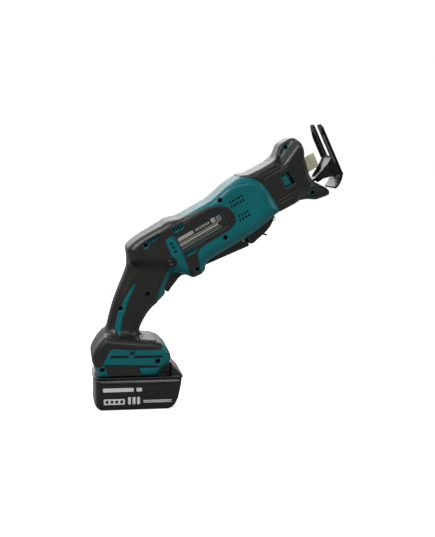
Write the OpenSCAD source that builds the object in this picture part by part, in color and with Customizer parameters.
// Cordless compact reciprocating saw with a slide-on battery pack.
// Millimetres. +X points the way the saw points, +Z is up, and the origin is the middle
// of the battery's flat base. The barrel leans up at barrel_tilt from the horizontal.

/* [Barrel] */
// Angle of the barrel above the horizontal, degrees
barrel_tilt = 30; // [29:0.5:31]
// Width of the motor barrel across the clamshells
barrel_w = 66; // [65:0.5:68]
// Width of the rubber-covered nose
nose_w = 56; // [55:0.5:58]
// Wall thickness of the clamshells
wall = 2.6; // [2.2:0.1:2.8]
// Thickness of the rubber skin moulded over the clamshells
skin = 1.2; // [1:0.1:1.3]

/* [Grip and foot] */
// Width of the grip
grip_w = 37; // [35:0.5:40]
// Width of the foot that holds the battery
foot_w = 76; // [75:0.5:78]

/* [Battery] */
// Length of the battery pack
battery_l = 109; // [107:0.5:110]
// Width of the battery pack
battery_w = 75; // [74:0.5:76]

/* [Drive] */
// Full stroke of the blade
stroke = 13; // [10:0.5:13]
// Width of the slot that takes the blade's tang
blade_slot = 1.5; // [1.4:0.1:1.8]
// Teeth on the crank gear
gear_teeth = 48; // [48]
// Teeth on the motor pinion
pinion_teeth = 10; // [10]

/* [Shoe] */
// Width of the shoe
shoe_w = 50; // [46:1:52]
// Width of the slot the blade runs in
shoe_slot = 19; // [18:0.5:20]

/* [Hidden] */
$fn = 48;
split = 0.05;
far = 200;
// A point on the barrel axis, above the grip
barrel_x = 20;
barrel_z = 186;
// Height of the motor and crank axis, and of the blade rod, above the barrel axis
motor_v = 2.5;
barrel_r = 17;
rod_v = 5;
crank_u = 138;
rod_r = 6.5;
guide_r = 9.5;
crank_r = stroke / 2;
gear_mean_r = 23;
pinion_r = gear_mean_r * pinion_teeth / gear_teeth;
gear_face_y = -pinion_r;
chamber_r = 27;
chamber_wall = 1.9;
lug_ring_r = 30.5;
motor_r = 17.5;
shaft_r = 2.5;
running = 0.05;
battery_top = 39;
rail_neck = 23;
rail_flange = 27.5;
rail_stop = -40;
shoe_tilt = 4.6;
shoe_u = 259.9;
prong_reach = 43.7;
shoe_bolt_u = 190;
arm_v = -17.3;
label_u = 66;
label_v = 2.8;
label_l = 65;
label_h = 19;
label_t = 0.5;
paddle_pin_u = 108;
paddle_pin_v = -36.4;
lamp_v = -33.4;
lever_u = 130;
lever_v = -41;
holder_pin_u = 234;
rod_pin_u = 221.5;
lock_off_x = 38.4;
lock_off_z = 183.1;
lock_off_r = 4.5;
hook_x = 23;
hook_z = 61;
hook_r = 1.65;
cell_r = 9.1;
cell_pitch = 18.6;
first_cell_x = -42;
trigger_turn = 22;
trigger_travel = 6;
screw_r = 1.6;
grip_screws = [[-22.2, 124.8, 12], [11.3, 142.7, 12]];
foot_screw = [-46, 51.7, 30];
barrel_screws = [[-1.4, 22.4, 16], [105.1, 24.6, 16], [88.6, -18.8, 20], [39, -35.3, 9]];
ear_screws = [[210.9, 39.4, 10], [214.1, -26.9, 10]];

// A barrel point (along, up) as a world (x, z) point
function from_barrel(u, v) = [
    barrel_x + u * cos(barrel_tilt) - v * sin(barrel_tilt),
    barrel_z + u * sin(barrel_tilt) + v * cos(barrel_tilt)];

module at_barrel() {
    translate([barrel_x, 0, barrel_z]) rotate([0, -barrel_tilt, 0]) children();
}

// Extrudes a side view (x, z) across the tool, from y0 to y1
module across(y0, y1) {
    translate([0, y1, 0]) rotate([90, 0, 0]) linear_extrude(height = y1 - y0) children();
}

// A cylinder across the tool at (x, z)
module pin_across(x, z, r, y0, y1) {
    translate([x, y0, z]) rotate([-90, 0, 0]) cylinder(r = r, h = y1 - y0);
}

// A cylinder along the barrel from u0 to u1
module bar_along(u0, u1, r, v = 0, y = 0) {
    translate([u0, y, v]) rotate([0, 90, 0]) cylinder(r = r, h = u1 - u0);
}

module tube_along(u0, u1, r_out, r_in, v = 0) {
    difference() {
        bar_along(u0, u1, r_out, v);
        bar_along(u0 - 1, u1 + 1, r_in, v);
    }
}

module rounded_rect(w, h, r, inset = 0) {
    offset(r = r - inset, $fn = 40) square([w - 2 * r, h - 2 * r], center = true);
}

// ---------------------------------------------------------------- body outlines
// Motor and gear part of the barrel, seen from the side
module barrel_outline() {
    polygon([[-21, 27], [-14, 31.5], [-4, 32.7], [40, 32.8], [50, 29.6], [97, 29.6],
        [122, 35.2], [145, 37.3], [153, 33], [166, 32.5], [166, -29.4], [158, -33],
        [150, -37.5], [138, -38.5], [60, -38.5], [48, -43.5], [43, -45.5], [31, -44.5],
        [26, -39], [8, -20], [-24, 10]]);
}

module nose_outline() {
    polygon([[150, 33], [190, 32.6], [222.5, 13], [219.5, -15], [201, -29.4],
        [150, -29.4]]);
}

module ear_outline() {
    polygon([[180, 20], [190, 32.6], [201, 40.5], [209, 46.2], [223, 46.2], [229, 39],
        [229, 26], [221.5, 3], [219.5, -15], [228, -25], [236, -38], [232, -42],
        [215, -38.8], [201, -29.4], [190, -20]]);
}

module grip_outline() {
    polygon([[-12.5, 199], [-11.4, 188], [-14.5, 172.4], [-24.1, 149.5], [-31, 131],
        [-36, 112], [-41.5, 86], [-41.5, 70], [0, 70], [-0.6, 86], [3.3, 101.3],
        [10.9, 115.2], [18.5, 124.8], [25.5, 129.8], [34.1, 140], [36.5, 152],
        [44, 168], [52, 172], [60, 170], [66.8, 164.8], [72, 185], [40, 215], [0, 212]]);
}

module foot_outline() {
    polygon([[-57.8, 66.4], [-51, 81.4], [-41, 93], [0, 85], [24, 82], [34, 75],
        [38.5, 66], [37, 58], [28, 50], [20, 42], [-49, 41.5], [-54.7, 56]]);
}

// The whole closed body, drawn inset from its outer surface
module body(inset) {
    at_barrel() {
        intersection() {
            across(-far, far) offset(delta = -inset) barrel_outline();
            union() {
                translate([24 + inset, 0, -3]) rotate([90, 0, 90]) linear_extrude(height = 110)
                    rounded_rect(barrel_w, 73, barrel_r, inset);
                translate([-30, 0, -3]) rotate([90, 0, 90]) linear_extrude(height = 60)
                    rounded_rect(barrel_w - 6, 73, barrel_r, inset);
            }
        }
        intersection() {
            across(-far, far) offset(delta = -inset) barrel_outline();
            translate([100, 0, -1]) rotate([90, 0, 90]) linear_extrude(height = 66 - inset)
                rounded_rect(barrel_w - 2, 78, barrel_r + 2, inset);
        }
        intersection() {
            across(-far, far) offset(delta = -inset) nose_outline();
            translate([140, 0, 1.6]) rotate([90, 0, 90]) linear_extrude(height = 90)
                rounded_rect(nose_w, 62, 14, inset);
        }
        across(-15 + inset, 15 - inset) offset(delta = -inset) ear_outline();
    }
    intersection() {
        across(-far, far) offset(delta = -inset) grip_outline();
        translate([0, 0, 130]) rotate([0, 18, 0]) translate([2, 0, -70])
            linear_extrude(height = 190) rounded_rect(63, grip_w, 17, inset);
    }
    intersection() {
        across(-far, far) offset(delta = -inset) foot_outline();
        translate([0, 0, 30]) rotate([90, 0, 90]) translate([0, 36, -100])
            linear_extrude(height = 200) rounded_rect(foot_w, 54, 13, inset);
    }
}

// ---------------------------------------------------------------- rubber regions
module nose_region() {
    at_barrel() across(-far, far)
        polygon([[139, 60], [148, 33.5], [154, 27], [159, 20], [163, 8], [165, -6],
            [165.5, -24], [166, -60], [250, -60], [250, 60]]);
}

module grip_region() {
    at_barrel() across(-far, far)
        polygon([[-40, 60], [46, 60], [46, 33], [66, 28.5], [98, 22.5], [108, 15],
            [113, 2], [107, -9], [96, -13.4], [52, -14.5], [47, -20], [42, -39.5],
            [44, -60], [30, -60], [27, -35], [33, -14], [34.6, 14.7], [23, 17.5],
            [24, 0], [12, -14], [-2, -30], [-18, -43], [-24, -52], [-95, -110],
            [-150, -60]]);
    across(-far, far)
        polygon([[-60, 100], [-60, 46], [-48, 47], [-44, 56], [-35, 78], [-2, 78], [8, 104]]);
}

module leaf_region() {
    across(-far, far)
        polygon([[-5.2, 155.4], [-10.8, 147.2], [-22.1, 126], [-29.6, 107.2], [-28.3, 99.7],
            [-23.3, 91.6], [-21.4, 107.2], [-15.8, 128.5], [-10.8, 139.7]]);
}

module half_space(side) {
    translate([-far, side < 0 ? -far : split, -far]) cube([3 * far, far - split, 4 * far]);
}

// ---------------------------------------------------------------- openings
module vent(u, v, w, h) {
    translate([u, 0, v]) cube([w, far, h], center = true);
}

module vents() {
    at_barrel() {
        for (i = [0:4]) vent(4 + 3.6 * i, 24, 1.8, 3);
        for (i = [0:3]) vent(37.5 + 4 * i, 21.3, 2, 4);
        for (i = [0:2]) vent(25.6, 8.4 - 5 * i, 3, 2.4);
        for (i = [0:3]) vent(36.5 + 4 * i, -17, 2, 3.4);
        for (i = [0:4], j = [0:1]) vent(115.5 + 4.4 * i, 15.4 - 5 * j, 2.2, 2.6);
        for (i = [0:3], j = [0:1]) vent(116.5 + 4.4 * i, -4.4 - 4.4 * j, 2.2, 2.4);
    }
}

module trigger_outline() {
    polygon([[62, 165], [55.3, 164.1], [51.5, 161], [47.7, 155.9], [42.6, 149.5],
        [38.8, 143.4], [35.8, 143.8], [30, 148], [31, 160], [40, 170], [50, 171.5],
        [58, 168.6]]);
}

module trigger_well() {
    across(-9.6, 9.6)
        for (s = [0:trigger_travel / 2:trigger_travel])
            translate([-s * cos(trigger_turn), s * sin(trigger_turn)])
                offset(delta = 0.5) trigger_outline();
}

module nose_mouth() {
    at_barrel() {
        translate([200, -10, -7]) cube([40, 20, 25]);
        translate([176, -shoe_slot / 2 - 0.4, -18.4]) cube([60, shoe_slot + 0.8, 5.8]);
    }
}

module release_window(grow = 0) {
    at_barrel() translate([192.5, -30, 4]) cube([13 + grow, 24, 12 + grow], center = true);
}

module paddle_slot() {
    at_barrel() {
        translate([49, -12.4, -48]) cube([64.5, 24.8, 18]);
        translate([113, -14.4, -60]) cube([37, 28.8, 25]);
        translate([137, -6, -60]) cube([40, 12, 31.5]);
    }
}

// Where the battery's T-shaped tongue runs, open to the front
module rail_channel() {
    translate([rail_stop, -rail_neck - 0.4, 38]) cube([120, 2 * rail_neck + 0.8, 12]);
    translate([rail_stop, -rail_flange - 0.4, 49.6]) cube([120, 2 * rail_flange + 0.8, 9]);
}

module hook_holes() {
    for (s = [-1, 1])
        translate([hook_x, s * 36, hook_z]) rotate([90, 0, 0]) cylinder(r = hook_r, h = 20, center = true);
}

// Every housing screw as [x, z, depth of the head's seat]
function screw_places() = concat(
    [for (p = barrel_screws) concat(from_barrel(p[0], p[1]), [p[2]])],
    [for (p = ear_screws) concat(from_barrel(p[0], p[1]), [p[2]])],
    grip_screws, [foot_screw]);

module screw_bosses() {
    for (p = screw_places()) pin_across(p[0], p[1], 3.4, -45, 45);
}

module screw_holes() {
    for (p = screw_places()) {
        pin_across(p[0], p[1], screw_r + 0.1, -p[2] - 2, p[2] - 2);
        pin_across(p[0], p[1], 2.9, -50, -p[2] + 2);
    }
}

// ---------------------------------------------------------------- clamshells
module clamshell(side) {
    difference() {
        intersection() {
            union() {
                difference() {
                    union() {
                        body(skin + split);
                        difference() {
                            body(0);
                            nose_region();
                            difference() {
                                grip_region();
                                leaf_region();
                            }
                        }
                    }
                    body(skin + wall);
                }
                difference() {
                    intersection() {
                        body(skin + split);
                        union() {
                            screw_bosses();
                            motor_cradle();
                            part_rests();
                            at_barrel() pin_across(paddle_pin_u, paddle_pin_v, 3.2, -17.5, 17.5);
                            rail_ledges();
                        }
                    }
                    rail_channel();
                }
            }
            half_space(side);
        }
        vents();
        screw_holes();
        trigger_well();
        nose_mouth();
        paddle_slot();
        rail_channel();
        hook_holes();
        bolt_access();
        paddle_pin_holes(1.55);
        pin_across(lock_off_x, lock_off_z, lock_off_r + 0.2, -far, far);
        if (side < 0) {
            release_window();
            label_recess(-1);
        } else {
            label_recess(1);
        }
    }
}

// Ribs inside the shells that hold the motor can
module motor_cradle() {
    at_barrel() difference() {
        for (u = [50, 80])
            translate([u, -40, -36]) cube([2.5, 80, 68]);
        bar_along(0, 120, motor_r + 0.15, motor_v);
        translate([0, -13, -60]) cube([120, 26, 45]);
    }
}

// Ribs that hold the gear housing, the two switches and the terminal block
module part_rests() {
    at_barrel() {
        difference() {
            for (u = [171, 203]) translate([u, -40, -30]) cube([2.5, 80, 60]);
            bar_along(160, 215, 12.5, rod_v);
            translate([165, -14, -40]) cube([50, 28, 40]);
        }
        for (s = [-1, 1]) translate([70, s * 18 - 13.45, -27]) cube([7, 26.9, 3]);
    }
    for (s = [-1, 1]) {
        translate([2, s * 13 - 3.95, 156]) cube([12, 7.9, 10]);
        translate([-30, s * 26 - 11.95, 60]) cube([10, 23.9, 6]);
    }
}

// Solid ledges of the foot that carry the battery's rails
module rail_ledges() {
    translate([-50, -40, 30]) cube([120, 80, 21]);
    translate([19, -40, 30]) cube([20, 12, 40]);
    translate([19, 28, 30]) cube([20, 12, 40]);
}

module label_recess(side) {
    at_barrel() translate([label_u, side * (barrel_w / 2 - 0.7 + 5), label_v])
        cube([label_l + 1, 10, label_h + 1], center = true);
}

// The screw hole under the nose that the shoe bolt is reached through
module bolt_access() {
    at_barrel() translate([shoe_bolt_u, 0, -45]) cylinder(r = 5.5, h = 22);
}

module paddle_pin_holes(r) {
    at_barrel() pin_across(paddle_pin_u, paddle_pin_v, r, -15.3, 15.3);
}

module housing_right() { color([0, 0.39, 0.41]) clamshell(-1); }
module housing_left() { color([0, 0.39, 0.41]) clamshell(1); }

// ---------------------------------------------------------------- rubber skins
// The skin in a region of the body, one side of the split
module skin_shell(side) {
    difference() {
        intersection() {
            difference() {
                body(0);
                body(skin);
            }
            children();
            half_space(side);
        }
        vents();
        trigger_well();
        nose_mouth();
        paddle_slot();
        bolt_access();
        pin_across(lock_off_x, lock_off_z, lock_off_r + 0.2, -far, far);
        for (p = screw_places()) pin_across(p[0], p[1], 2.9, -50, side < 0 ? 0 : -1);
        rail_channel();
        if (side < 0) release_window(1);
        label_recess(side);
    }
}

module grip_skin(side) {
    skin_shell(side) difference() {
        grip_region();
        leaf_region();
    }
}

module grip_rubber_right() { color([0.17, 0.16, 0.15]) grip_skin(-1); }
module grip_rubber_left() { color([0.17, 0.16, 0.15]) grip_skin(1); }
module nose_rubber_right() { color([0.17, 0.16, 0.15]) skin_shell(-1) nose_region(); }
module nose_rubber_left() { color([0.17, 0.16, 0.15]) skin_shell(1) nose_region(); }

// ---------------------------------------------------------------- labels and screws
module side_plate(side) {
    at_barrel() translate([label_u, side * (barrel_w / 2 - 0.66 + label_t / 2), label_v])
        cube([label_l, label_t, label_h], center = true);
}

module rating_label() { color([0.75, 0.76, 0.76]) side_plate(-1); }
module badge_left() { color([0.2, 0.2, 0.2]) side_plate(1); }

module housing_screws() {
    color([0.25, 0.25, 0.26]) for (p = screw_places()) difference() {
        union() {
            pin_across(p[0], p[1], 2.75, -p[2], -p[2] + 1.95);
            pin_across(p[0], p[1], screw_r, -p[2] + 1, p[2] - 2.1);
        }
        pin_across(p[0], p[1], 1.1, -p[2] - 1, -p[2] + 1.2);
    }
}

// ---------------------------------------------------------------- lower guard and lamp
module guard_outline() {
    polygon([[113.6, -38.8], [113.6, -45], [118, -47], [126, -45.6], [134, -44.8],
        [141, -42.9], [148.5, -40], [155, -36.3], [160.5, -32.4], [162.8, -31],
        [158.1, -33.3], [150, -37.8], [138, -38.8]]);
}

module lower_guard() {
    color([0.15, 0.15, 0.14]) at_barrel() difference() {
        union() {
            across(-16, 16) guard_outline();
            across(-14, 14)
                polygon([[113.6, -40], [113.6, -35.3], [149, -35.3], [149, -38.8], [138, -40]]);
            across(-5.7, 5.7)
                polygon([[137.4, -39], [137.4, -29], [158.6, -29], [160, -31.6], [150, -38.6]]);
        }
        bar_along(149.9, 170, 3.6, lamp_v);
        bar_along(145, 150, 4.4, lamp_v);
        across(-3.3, 3.3)
            polygon([[125, -60], [125, -41], [129, -37.6], [134, -38], [146, -46], [146, -60]]);
        pin_across(lever_u, lever_v, 2.07, -6, 6);
    }
}

module lock_lever() {
    color([0.1, 0.1, 0.1]) at_barrel() {
        pin_across(lever_u, lever_v, 2, -5.9, 5.9);
        across(-2.9, 2.9)
            polygon([[128.2, -41.6], [131, -39.2], [138.6, -45.6], [138.2, -48], [136.6, -47.6],
                [134.4, -45.4], [130, -43.2]]);
    }
}

module lamp_lens() {
    color([0.85, 0.88, 0.9, 0.6]) at_barrel() intersection() {
        bar_along(151.8, 162, 3.5, lamp_v);
        translate([151.5, 0, lamp_v]) sphere(r = 8);
    }
}

module lamp_board() {
    color([0.1, 0.35, 0.15]) at_barrel() {
        bar_along(147, 148.4, 4.2, lamp_v);
        bar_along(148.4, 151.2, 1.8, lamp_v);
    }
}

// ---------------------------------------------------------------- gear housing
module gear_cyl(r, y0, y1) {
    pin_across(crank_u, motor_v, r, y0, y1);
}

module gear_lugs(r, y0, y1) {
    for (a = [30, 150, 210, 330])
        pin_across(crank_u + lug_ring_r * cos(a), motor_v + lug_ring_r * sin(a), r, y0, y1);
}

module gear_housing() {
    color([0.62, 0.62, 0.63]) at_barrel() difference() {
        union() {
            gear_cyl(chamber_r + chamber_wall, -14.3, 11);
            gear_lugs(3.2, -14.3, 4);
            bar_along(155, 209, 12.4, rod_v);
            translate([182, -12, -13.9]) cube([16, 24, 12]);
        }
        gear_cyl(chamber_r, -20, 9);
        gear_lugs(1.35, -20, 2.2);
        bar_along(150, 215, guide_r + running, rod_v);
        bar_along(100, 120, 7.5, motor_v);
        translate([shoe_bolt_u, 0, -20]) cylinder(r = 2.5, h = 14.4);
    }
}

module gear_cover() {
    color([0.6, 0.6, 0.61]) at_barrel() difference() {
        union() {
            gear_cyl(chamber_r + chamber_wall, -16.6, -14.35);
            gear_lugs(3.2, -16.6, -14.35);
            gear_cyl(11.5, -24, -16.5);
        }
        gear_cyl(9.05, -25, -17.6);
        gear_cyl(5.6, -20, -10);
        gear_lugs(1.35, -20, -10);
    }
}

module gear_cover_screws() {
    color([0.3, 0.3, 0.31]) at_barrel() {
        gear_lugs(2.4, -18.8, -16.65);
        gear_lugs(1.3, -16.7, 2);
    }
}

module gear_bearing() {
    color([0.8, 0.8, 0.82]) at_barrel() difference() {
        gear_cyl(9, -23.6, -17.7);
        gear_cyl(5 + running, -25, -15);
    }
}

// Trapezoid tooth section, pointing along +y, with its pitch line at y = 0
module tooth_section(pitch) {
    polygon([[-0.3 * pitch, -1.1], [0.3 * pitch, -1.1], [0.12 * pitch, 0.65],
        [-0.12 * pitch, 0.65]]);
}

module crank_gear() {
    pitch = 2 * PI * gear_mean_r / gear_teeth;
    color([0.45, 0.45, 0.47]) at_barrel() difference() {
        union() {
            gear_cyl(26, -12, gear_face_y - 1);
            gear_cyl(5, -23.5, -11.9);
            translate([crank_u, 0, motor_v])
                for (i = [0:gear_teeth - 1])
                    rotate([0, (i + 0.5) * 360 / gear_teeth, 0])
                        translate([20.5, gear_face_y, 0]) rotate([90, 0, 90])
                            linear_extrude(height = 5) rotate([0, 0, -90]) tooth_section(pitch);
        }
        pin_across(crank_u, motor_v + crank_r, 3.03, -13, 0);
        for (a = [0, 120, 240])
            pin_across(crank_u + 13 * cos(a - 30), motor_v + 13 * sin(a - 30), 3.4, -13, 0);
    }
}

module crank_pin() {
    color([0.7, 0.7, 0.72]) at_barrel() pin_across(crank_u, motor_v + crank_r, 3, -11.9, 0.7);
}

module crank_roller() {
    color([0.75, 0.75, 0.77]) at_barrel() difference() {
        pin_across(crank_u, motor_v + crank_r, 6, gear_face_y - 0.9, 0.6);
        pin_across(crank_u, motor_v + crank_r, 3 + running, -10, 3);
    }
}

module rod_guide(u0, u1) {
    color([0.6, 0.5, 0.35]) at_barrel() tube_along(u0, u1, guide_r, rod_r + running, rod_v);
}

module rod_guide_front() { rod_guide(194, 208); }
module rod_guide_rear() { rod_guide(181.5, 190); }

module blade_rod() {
    slot_half = crank_r + 6.2;
    color([0.68, 0.68, 0.7]) at_barrel() {
        difference() {
            union() {
                translate([crank_u - 10.6, 1, motor_v - 17]) cube([21.2, 6, 34]);
                translate([crank_u + 10, 1, rod_v - 6]) cube([26.5, 5.4, 12]);
                bar_along(171, 217, rod_r, rod_v);
                bar_along(216, 226, 3.5, rod_v);
            }
            translate([crank_u - 6.1, 0, motor_v - slot_half]) cube([12.2, 8, 2 * slot_half]);
            pin_across(rod_pin_u, rod_v, 1.25, -10, 10);
        }
    }
}

module blade_holder() {
    color([0.66, 0.62, 0.52]) at_barrel() difference() {
        across(-5, 5)
            polygon([[217.1, -3.4], [219, -4.3], [238.1, -4.2], [240.9, 14.6], [219, 14.6],
                [217.1, 13.6]]);
        bar_along(210, 226.2, 3.55, rod_v);
        translate([228, -blade_slot / 2, -10]) cube([20, blade_slot, 40]);
        pin_across(rod_pin_u, rod_v, 1.25, -10, 10);
        pin_across(holder_pin_u, rod_v, 2.05, blade_slot / 2, 10);
    }
}

module blade_pins() {
    color([0.5, 0.5, 0.52]) at_barrel() {
        pin_across(rod_pin_u, rod_v, 1.2, -4.9, 4.9);
        pin_across(holder_pin_u, rod_v, 2, blade_slot / 2 + 0.05, 5.4);
    }
}

module release_slider() {
    color([0, 0.45, 0.47]) at_barrel() {
        translate([186.4, -27.4, -1.6]) cube([6.6, 5, 11.2]);
        translate([184, -23.7, -4.5]) cube([11, 2, 17]);
    }
}

// ---------------------------------------------------------------- shoe
module at_shoe() {
    at_barrel() translate([shoe_u, 0, 0]) rotate([0, shoe_tilt, 0]) children();
}

// Face of the shoe plate: two prongs, a slot for the blade and a window under the arm
module shoe_face() {
    difference() {
        union() {
            for (s = [-1, 1]) translate([s * (shoe_w + shoe_slot) / 4, 0])
                offset(r = 5, $fn = 32)
                    square([(shoe_w - shoe_slot) / 2 - 10, 2 * prong_reach - 10], center = true);
            translate([-shoe_w / 2, -25]) square([shoe_w, 20]);
        }
        translate([-shoe_slot / 2, -20]) square([shoe_slot, 14]);
        translate([-60, -60]) square([120, 35]);
        translate([0, 5.5]) circle(r = shoe_slot / 2);
    }
}

// The shoe's arm seen from above: narrow in the nose, flaring out to the plate
module arm_plan(inset) {
    translate([0, 0, -50]) linear_extrude(height = 70) offset(delta = -inset)
        polygon([[169, -shoe_slot / 2], [222, -shoe_slot / 2], [247, -shoe_w / 2 + 4],
            [266, -shoe_w / 2 + 1], [266, shoe_w / 2 - 1], [247, shoe_w / 2 - 4],
            [222, shoe_slot / 2], [169, shoe_slot / 2]]);
}

module shoe() {
    color([0.13, 0.13, 0.13]) difference() {
        union() {
            at_shoe() {
                rotate([90, 0, 90]) translate([0, 0, -3]) linear_extrude(height = 3) shoe_face();
                for (s = [-1, 1])
                    translate([-5.6, s * (shoe_w / 2 - 1.2) - 1.2, -23]) cube([4.6, 2.4, 55]);
            }
            at_barrel() {
                across(-shoe_w / 2 + 0.25, shoe_w / 2 - 0.25)
                    polygon([[257.8, -24], [256.9, -27], [254.7, -29.8], [250.6, -33.2], [246, -35.8],
                        [241.2, -37.4], [241.5, -34.5], [245.2, -33], [249, -30.8],
                        [252.4, -27.9], [254.1, -25.6], [254.9, -23.6]]);
                intersection() {
                    across(-far, far)
                        polygon([[169, arm_v], [233, arm_v], [241, arm_v + 1.7], [247, -12.3],
                            [253.5, -7.6], [259.3, -3.3], [258.6, 0.2], [252, -4.4], [245, -9.2],
                            [239, -12.6], [232, arm_v + 3], [169, arm_v + 3]]);
                    arm_plan(0);
                }
                difference() {
                    intersection() {
                        across(-far, far)
                            polygon([[225.6, arm_v + 1], [227.2, -20.8], [234.6, -19.6], [243, -21],
                                [251, -23], [256.5, -24.4], [257.6, -19], [257.8, -1], [253.9, -0.8],
                                [249.5, -3.9], [243.1, -7.4], [233, -11.5], [226.5, arm_v + 2.6]]);
                        arm_plan(0);
                    }
                    arm_plan(2.4);
                }
            }
        }
        at_barrel() translate([171, -2.7, -20]) cube([22, 5.4, 10]);
    }
}

module shoe_clamp() {
    color([0.55, 0.55, 0.56]) at_barrel() difference() {
        translate([182, -11, arm_v - 3.3]) cube([16, 22, 3]);
        translate([shoe_bolt_u, 0, -30]) cylinder(r = 2.5, h = 20);
    }
}

module shoe_bolt() {
    color([0.3, 0.3, 0.31]) at_barrel() translate([shoe_bolt_u, 0, 0]) difference() {
        union() {
            translate([0, 0, -25.5]) cylinder(r = 4.4, h = 4.85);
            translate([0, 0, -21]) cylinder(r = 2.4, h = 14);
        }
        translate([0, 0, -26]) cylinder(r = 2.3, h = 3, $fn = 6);
    }
}

// ---------------------------------------------------------------- motor
module motor_can() {
    color([0.55, 0.56, 0.57]) at_barrel() {
        tube_along(44.1, 91, motor_r, motor_r - 1.4, motor_v);
        tube_along(89, 91, motor_r - 1, 6.05, motor_v);
        tube_along(87.2, 89.5, 8, 6.05, motor_v);
    }
}

module field_magnets() {
    color([0.2, 0.2, 0.22]) at_barrel() difference() {
        tube_along(52.5, 82, motor_r - 1.5, 13.2, motor_v);
        for (a = [0, 90]) translate([67, 0, motor_v]) rotate([a + 45, 0, 0])
            cube([40, 4, 40], center = true);
    }
}

module end_bell() {
    color([0.12, 0.12, 0.12]) at_barrel() difference() {
        union() {
            bar_along(38, 44, motor_r, motor_v);
            for (s = [-1, 1]) translate([44, s * 11.2 - 4.2, motor_v - 3.6]) cube([6.8, 8.4, 7.2]);
        }
        bar_along(30, 42, 6.05, motor_v);
        bar_along(40, 46, 4, motor_v);
        for (s = [-1, 1]) translate([44.5, s * 11.5 - 5, motor_v - 2.6]) cube([5.2, 10, 5.2]);
    }
}

module brushes() {
    color([0.12, 0.12, 0.13]) at_barrel()
        for (s = [-1, 1]) translate([47.1, s * 8.9, motor_v]) cube([4.9, 4.2, 4.9], center = true);
}

// A coil spring along +z from z = 0; the wire fills a third of each turn's height
module coil(radius, wire, turns, height) {
    linear_extrude(height = height, twist = -360 * turns, slices = 12 * turns, $fn = 8)
        polygon(concat(
            [for (a = [0:30:120]) (radius + wire) * [cos(a), sin(a)]],
            [for (a = [120:-30:0]) (radius - wire) * [cos(a), sin(a)]]));
}

module brush_springs() {
    color([0.7, 0.7, 0.7]) at_barrel()
        for (s = [-1, 1]) translate([47.1, s * 11.1, motor_v]) rotate([-90 * s, 0, 0])
            coil(1.5, 0.3, 3, 4.6);
}

module motor_bearings() {
    color([0.8, 0.8, 0.82]) at_barrel() {
        tube_along(38.1, 41.9, 6, shaft_r + running, motor_v);
        tube_along(87.2, 90.9, 6, shaft_r + running, motor_v);
    }
}

module rotor_shaft() { color([0.75, 0.75, 0.77]) at_barrel() bar_along(36.5, 119, shaft_r, motor_v); }

module armature() {
    color([0.4, 0.4, 0.42]) at_barrel() difference() {
        bar_along(58, 80, 12.5, motor_v);
        bar_along(57, 81, shaft_r + 0.03, motor_v);
        for (i = [0:9]) translate([50, 0, motor_v]) rotate([36 * i, 0, 0])
            translate([0, -1.1, 7]) cube([40, 2.2, 6.2]);
    }
}

module winding_ring(u) {
    translate([u, 0, motor_v]) rotate([0, 90, 0]) rotate_extrude() translate([8.4, 0]) circle(r = 2.6);
}

module windings() {
    color([0.72, 0.35, 0.15]) at_barrel() {
        winding_ring(54.9);
        winding_ring(83.1);
    }
}

module commutator() {
    color([0.75, 0.45, 0.25]) at_barrel() difference() {
        bar_along(44.3, 51.5, 6.6, motor_v);
        bar_along(43, 53, shaft_r + 0.03, motor_v);
        for (i = [0:9]) translate([40, 0, motor_v]) rotate([36 * i + 18, 0, 0])
            translate([0, -0.2, 5.8]) cube([20, 0.4, 2]);
    }
}

module cooling_fan() {
    color([0.9, 0.9, 0.88]) at_barrel() difference() {
        union() {
            bar_along(92.4, 98, 5, motor_v);
            bar_along(96.6, 98, 16, motor_v);
            for (i = [0:8]) translate([92.6, 0, motor_v]) rotate([40 * i, 0, 0])
                translate([0, -0.5, 4]) cube([4.5, 1, 11.4]);
        }
        bar_along(90, 100, shaft_r + 0.03, motor_v);
    }
}

module motor_pinion() {
    pitch = 2 * PI * pinion_r / pinion_teeth;
    color([0.5, 0.5, 0.52]) at_barrel() difference() {
        translate([110, 0, motor_v]) rotate([0, 90, 0]) linear_extrude(height = 8.5) union() {
            circle(r = pinion_r - 1, $fn = 40);
            for (i = [0:pinion_teeth - 1]) rotate(i * 360 / pinion_teeth)
                translate([0, pinion_r]) polygon([[-0.25 * pitch, -1.3], [0.25 * pitch, -1.3],
                    [0.11 * pitch, 0.5], [-0.11 * pitch, 0.5]]);
        }
        bar_along(109, 120, shaft_r + 0.03, motor_v);
    }
}

// ---------------------------------------------------------------- switch and controls
// A cylinder along the trigger's travel, from s0 to s1 past its back face
module along_travel(s0, s1, r) {
    translate([30 - s0 * cos(trigger_turn), 0, 155 + s0 * sin(trigger_turn)])
        rotate([0, -90 + trigger_turn, 0]) cylinder(r = r, h = s1 - s0);
}

module switch_unit() {
    color([0.1, 0.1, 0.1]) difference() {
        across(-9, 9)
            polygon([[-6, 150], [21, 150], [21, 170], [15, 176], [-1, 176], [-6, 162]]);
        along_travel(4, 26, 2.8);
    }
}

module trigger() {
    color([0.12, 0.12, 0.12]) union() {
        across(-9, 9) trigger_outline();
        along_travel(-3, 15, 2.2);
    }
}

module trigger_spring() {
    color([0.7, 0.7, 0.7])
        translate([30 - 21.4 * cos(trigger_turn), 0, 155 + 21.4 * sin(trigger_turn)])
            rotate([0, -90 + trigger_turn, 0]) coil(1.9, 0.35, 4, 4.2);
}

module lock_off_button() {
    color([0.1, 0.1, 0.1]) {
        pin_across(lock_off_x, lock_off_z, lock_off_r, -31.5, 31.5);
        for (s = [-1, 1]) translate([lock_off_x, s * 31.5, lock_off_z]) rotate([-90 * s, 0, 0])
            cylinder(r1 = lock_off_r, r2 = lock_off_r - 0.9, h = 0.8);
    }
}

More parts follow.
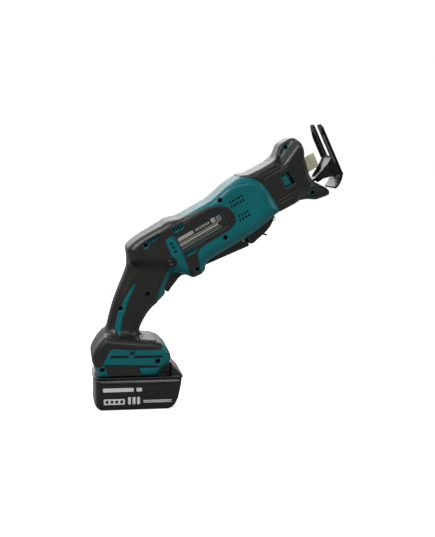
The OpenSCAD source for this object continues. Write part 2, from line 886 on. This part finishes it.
module paddle() {
    color([0.14, 0.14, 0.13]) at_barrel() difference() {
        across(-12, 12)
            polygon([[51.6, -39.7], [111.2, -46.7], [112.6, -45.4], [112.6, -39], [111.5, -34],
                [105, -33.2], [60, -35.2], [52, -37]]);
        pin_across(paddle_pin_u, paddle_pin_v, 1.57, -20, 20);
        across(-9.5, 9.5) polygon([[57, -36.6], [96, -34.9], [96, -20], [57, -20]]);
    }
}

module paddle_pin() {
    color([0.7, 0.7, 0.7]) at_barrel() pin_across(paddle_pin_u, paddle_pin_v, 1.5, -15.2, 15.2);
}

module paddle_switch() {
    color([0.2, 0.2, 0.2]) at_barrel() {
        translate([68, -4.5, -30.8]) cube([11, 9, 8.8]);
        translate([73.5, 0, -32.6]) cylinder(r = 1.4, h = 2);
    }
}

module terminal_block() {
    color([0.12, 0.12, 0.12]) {
        translate([-37, -14, 59.4]) cube([25, 28, 8]);
        for (y = [-9, 9]) translate([-36, y - 0.4, 51]) cube([16, 0.8, 9]);
    }
}

// A flat lead in a side view through a list of (x, z) points, lying at y
module lead(points, y, w) {
    across(y - w / 2, y + w / 2) for (i = [0:len(points) - 2]) {
        d = points[i + 1] - points[i];
        translate(points[i]) rotate(atan2(d[1], d[0])) translate([0, -w / 2])
            square([norm(d) + w / 2, w]);
    }
}

module power_leads() {
    lead_w = 2.6;
    color([0.6, 0.05, 0.05]) for (s = [-1, 1]) {
        lead([[-28, 68.2], [-22, 90], [-12, 125], [-1.6, 147]], 5.5 * s, lead_w);
        lead([[6, 177.4], from_barrel(22, 12), from_barrel(36, 14)], 5.5 * s, lead_w);
    }
}

// ---------------------------------------------------------------- battery
module case_outline() {
    polygon([[-54.5, 10], [-52.4, 3.4], [-47, 0], [36, 0], [44, 4.2], [48.6, 14], [54.5, 37],
        [54.5, 38.9], [-54.5, 38.9]]);
}

module battery_case() {
    color([0.12, 0.12, 0.11]) difference() {
        intersection() {
            across(-battery_w / 2, battery_w / 2) case_outline();
            linear_extrude(height = 60) rounded_rect(battery_l, battery_w, 7);
        }
        across(-34.9, 34.9) offset(delta = -2.1) case_outline();
        translate([-52.4, -34.9, 30]) cube([102, 69.8, 20]);
    }
}

module battery_cover() {
    color([0.11, 0.11, 0.11]) difference() {
        union() {
            translate([0, 0, battery_top + 0.05]) linear_extrude(height = 2.1)
                rounded_rect(battery_l, battery_w, 7);
            translate([-39.5, -rail_neck, 40]) cube([80, 2 * rail_neck, 12]);
            translate([-39.5, -rail_flange, 50]) cube([80, 2 * rail_flange, 8.2]);
            across(-35, 35)
                polygon([[39.5, 40], [39.5, 56.5], [43.5, 52.6], [53.6, 42.4], [53.6, 40]]);
        }
        translate([-37, -20.5, 38]) cube([71, 41, 9.8]);
        for (y = [-9, 9]) translate([-41, y - 1.4, 50.4]) cube([24, 2.8, 20]);
        translate([40.6, -15, 41.4]) cube([10.2, 30, 30]);
        translate([28, -8, 50]) cube([15, 16, 20]);
    }
    color([0.11, 0.11, 0.11]) for (x = [-33, 26], y = [-18, 15])
        translate([x, y, 43.65]) cube([3, 3, 5]);
}

module battery_cells() {
    color([0.2, 0.5, 0.3]) for (i = [0:4], z = [11.5, 29.9])
        pin_across(first_cell_x + cell_pitch * i, z, cell_r, -32.5, 32.5);
}

module cell_straps() {
    color([0.8, 0.8, 0.78]) for (i = [0:4], s = [-1, 1])
        translate([first_cell_x + cell_pitch * i - 4, s * 32.85 - 0.15, 7]) cube([8, 0.3, 27]);
}

module battery_board() {
    color([0.1, 0.4, 0.2]) {
        translate([-34, -19, 42]) cube([64, 38, 1.6]);
        for (y = [-9, 9]) translate([-34, y - 3, 43.5]) cube([14, 6, 4]);
    }
}

module battery_button() {
    color([0.6, 0.1, 0.1]) union() {
        across(-14.6, 14.6) polygon([[41, 46.2], [41, 55.3], [43.6, 52.9], [50.3, 46.2]]);
        translate([30, -7.6, 54.4]) cube([11.5, 15.2, 3.8]);
    }
}

module button_spring() {
    color([0.7, 0.7, 0.7]) translate([45, 0, 41.5]) coil(3.4, 0.5, 3, 4.6);
}

module battery_label() {
    color([0.85, 0.85, 0.85]) for (s = [-1, 1])
        translate([-4, s * (battery_w / 2 + 0.17), 15]) cube([80, 0.3, 20], center = true);
}

housing_right();
housing_left();
grip_rubber_right();
grip_rubber_left();
nose_rubber_right();
nose_rubber_left();
rating_label();
badge_left();
housing_screws();
lower_guard();
gear_housing();
gear_cover();
gear_cover_screws();
gear_bearing();
crank_gear();
crank_pin();
crank_roller();
rod_guide_front();
rod_guide_rear();
blade_rod();
blade_holder();
blade_pins();
release_slider();
shoe();
shoe_clamp();
shoe_bolt();
motor_can();
field_magnets();
end_bell();
brushes();
brush_springs();
motor_bearings();
rotor_shaft();
armature();
windings();
commutator();
cooling_fan();
motor_pinion();
switch_unit();
trigger();
trigger_spring();
lock_off_button();
paddle();
paddle_pin();
paddle_switch();
lock_lever();
lamp_lens();
lamp_board();
terminal_block();
power_leads();
battery_case();
battery_cover();
battery_cells();
cell_straps();
battery_board();
battery_button();
button_spring();
battery_label();
